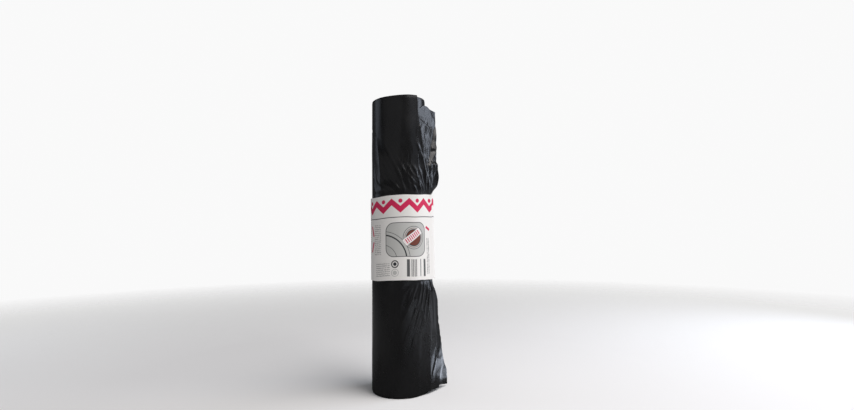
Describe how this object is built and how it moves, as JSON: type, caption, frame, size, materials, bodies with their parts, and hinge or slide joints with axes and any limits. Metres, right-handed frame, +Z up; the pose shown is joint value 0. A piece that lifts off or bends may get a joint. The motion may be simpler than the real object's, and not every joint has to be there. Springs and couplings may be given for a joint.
{
  "type": "bin bag roll",
  "caption": "Roll of black film bin bags wound without a core round an open eye, standing on end, its loose last turn held by a glued paper band.",
  "frame": {"origin": "where the roll's winding axis meets the plane of its bottom end, on which it stands", "axes": "+Z up the winding axis, -Y to the printed front, +X to the side where the last turn's free end stands off"},
  "size_m": [0.0902, 0.0686, 0.34],
  "materials": {
    "black_film": "satin to gloss black polyethylene film, wound in tight layers and creased where it is loose",
    "printed_paper": "uncoated white paper with a simple crimson, grey and dark print"
  },
  "bodies": {
    "root": {"bag_roll": "black_film", "paper_band": "printed_paper"}
  },
  "joints": []
}
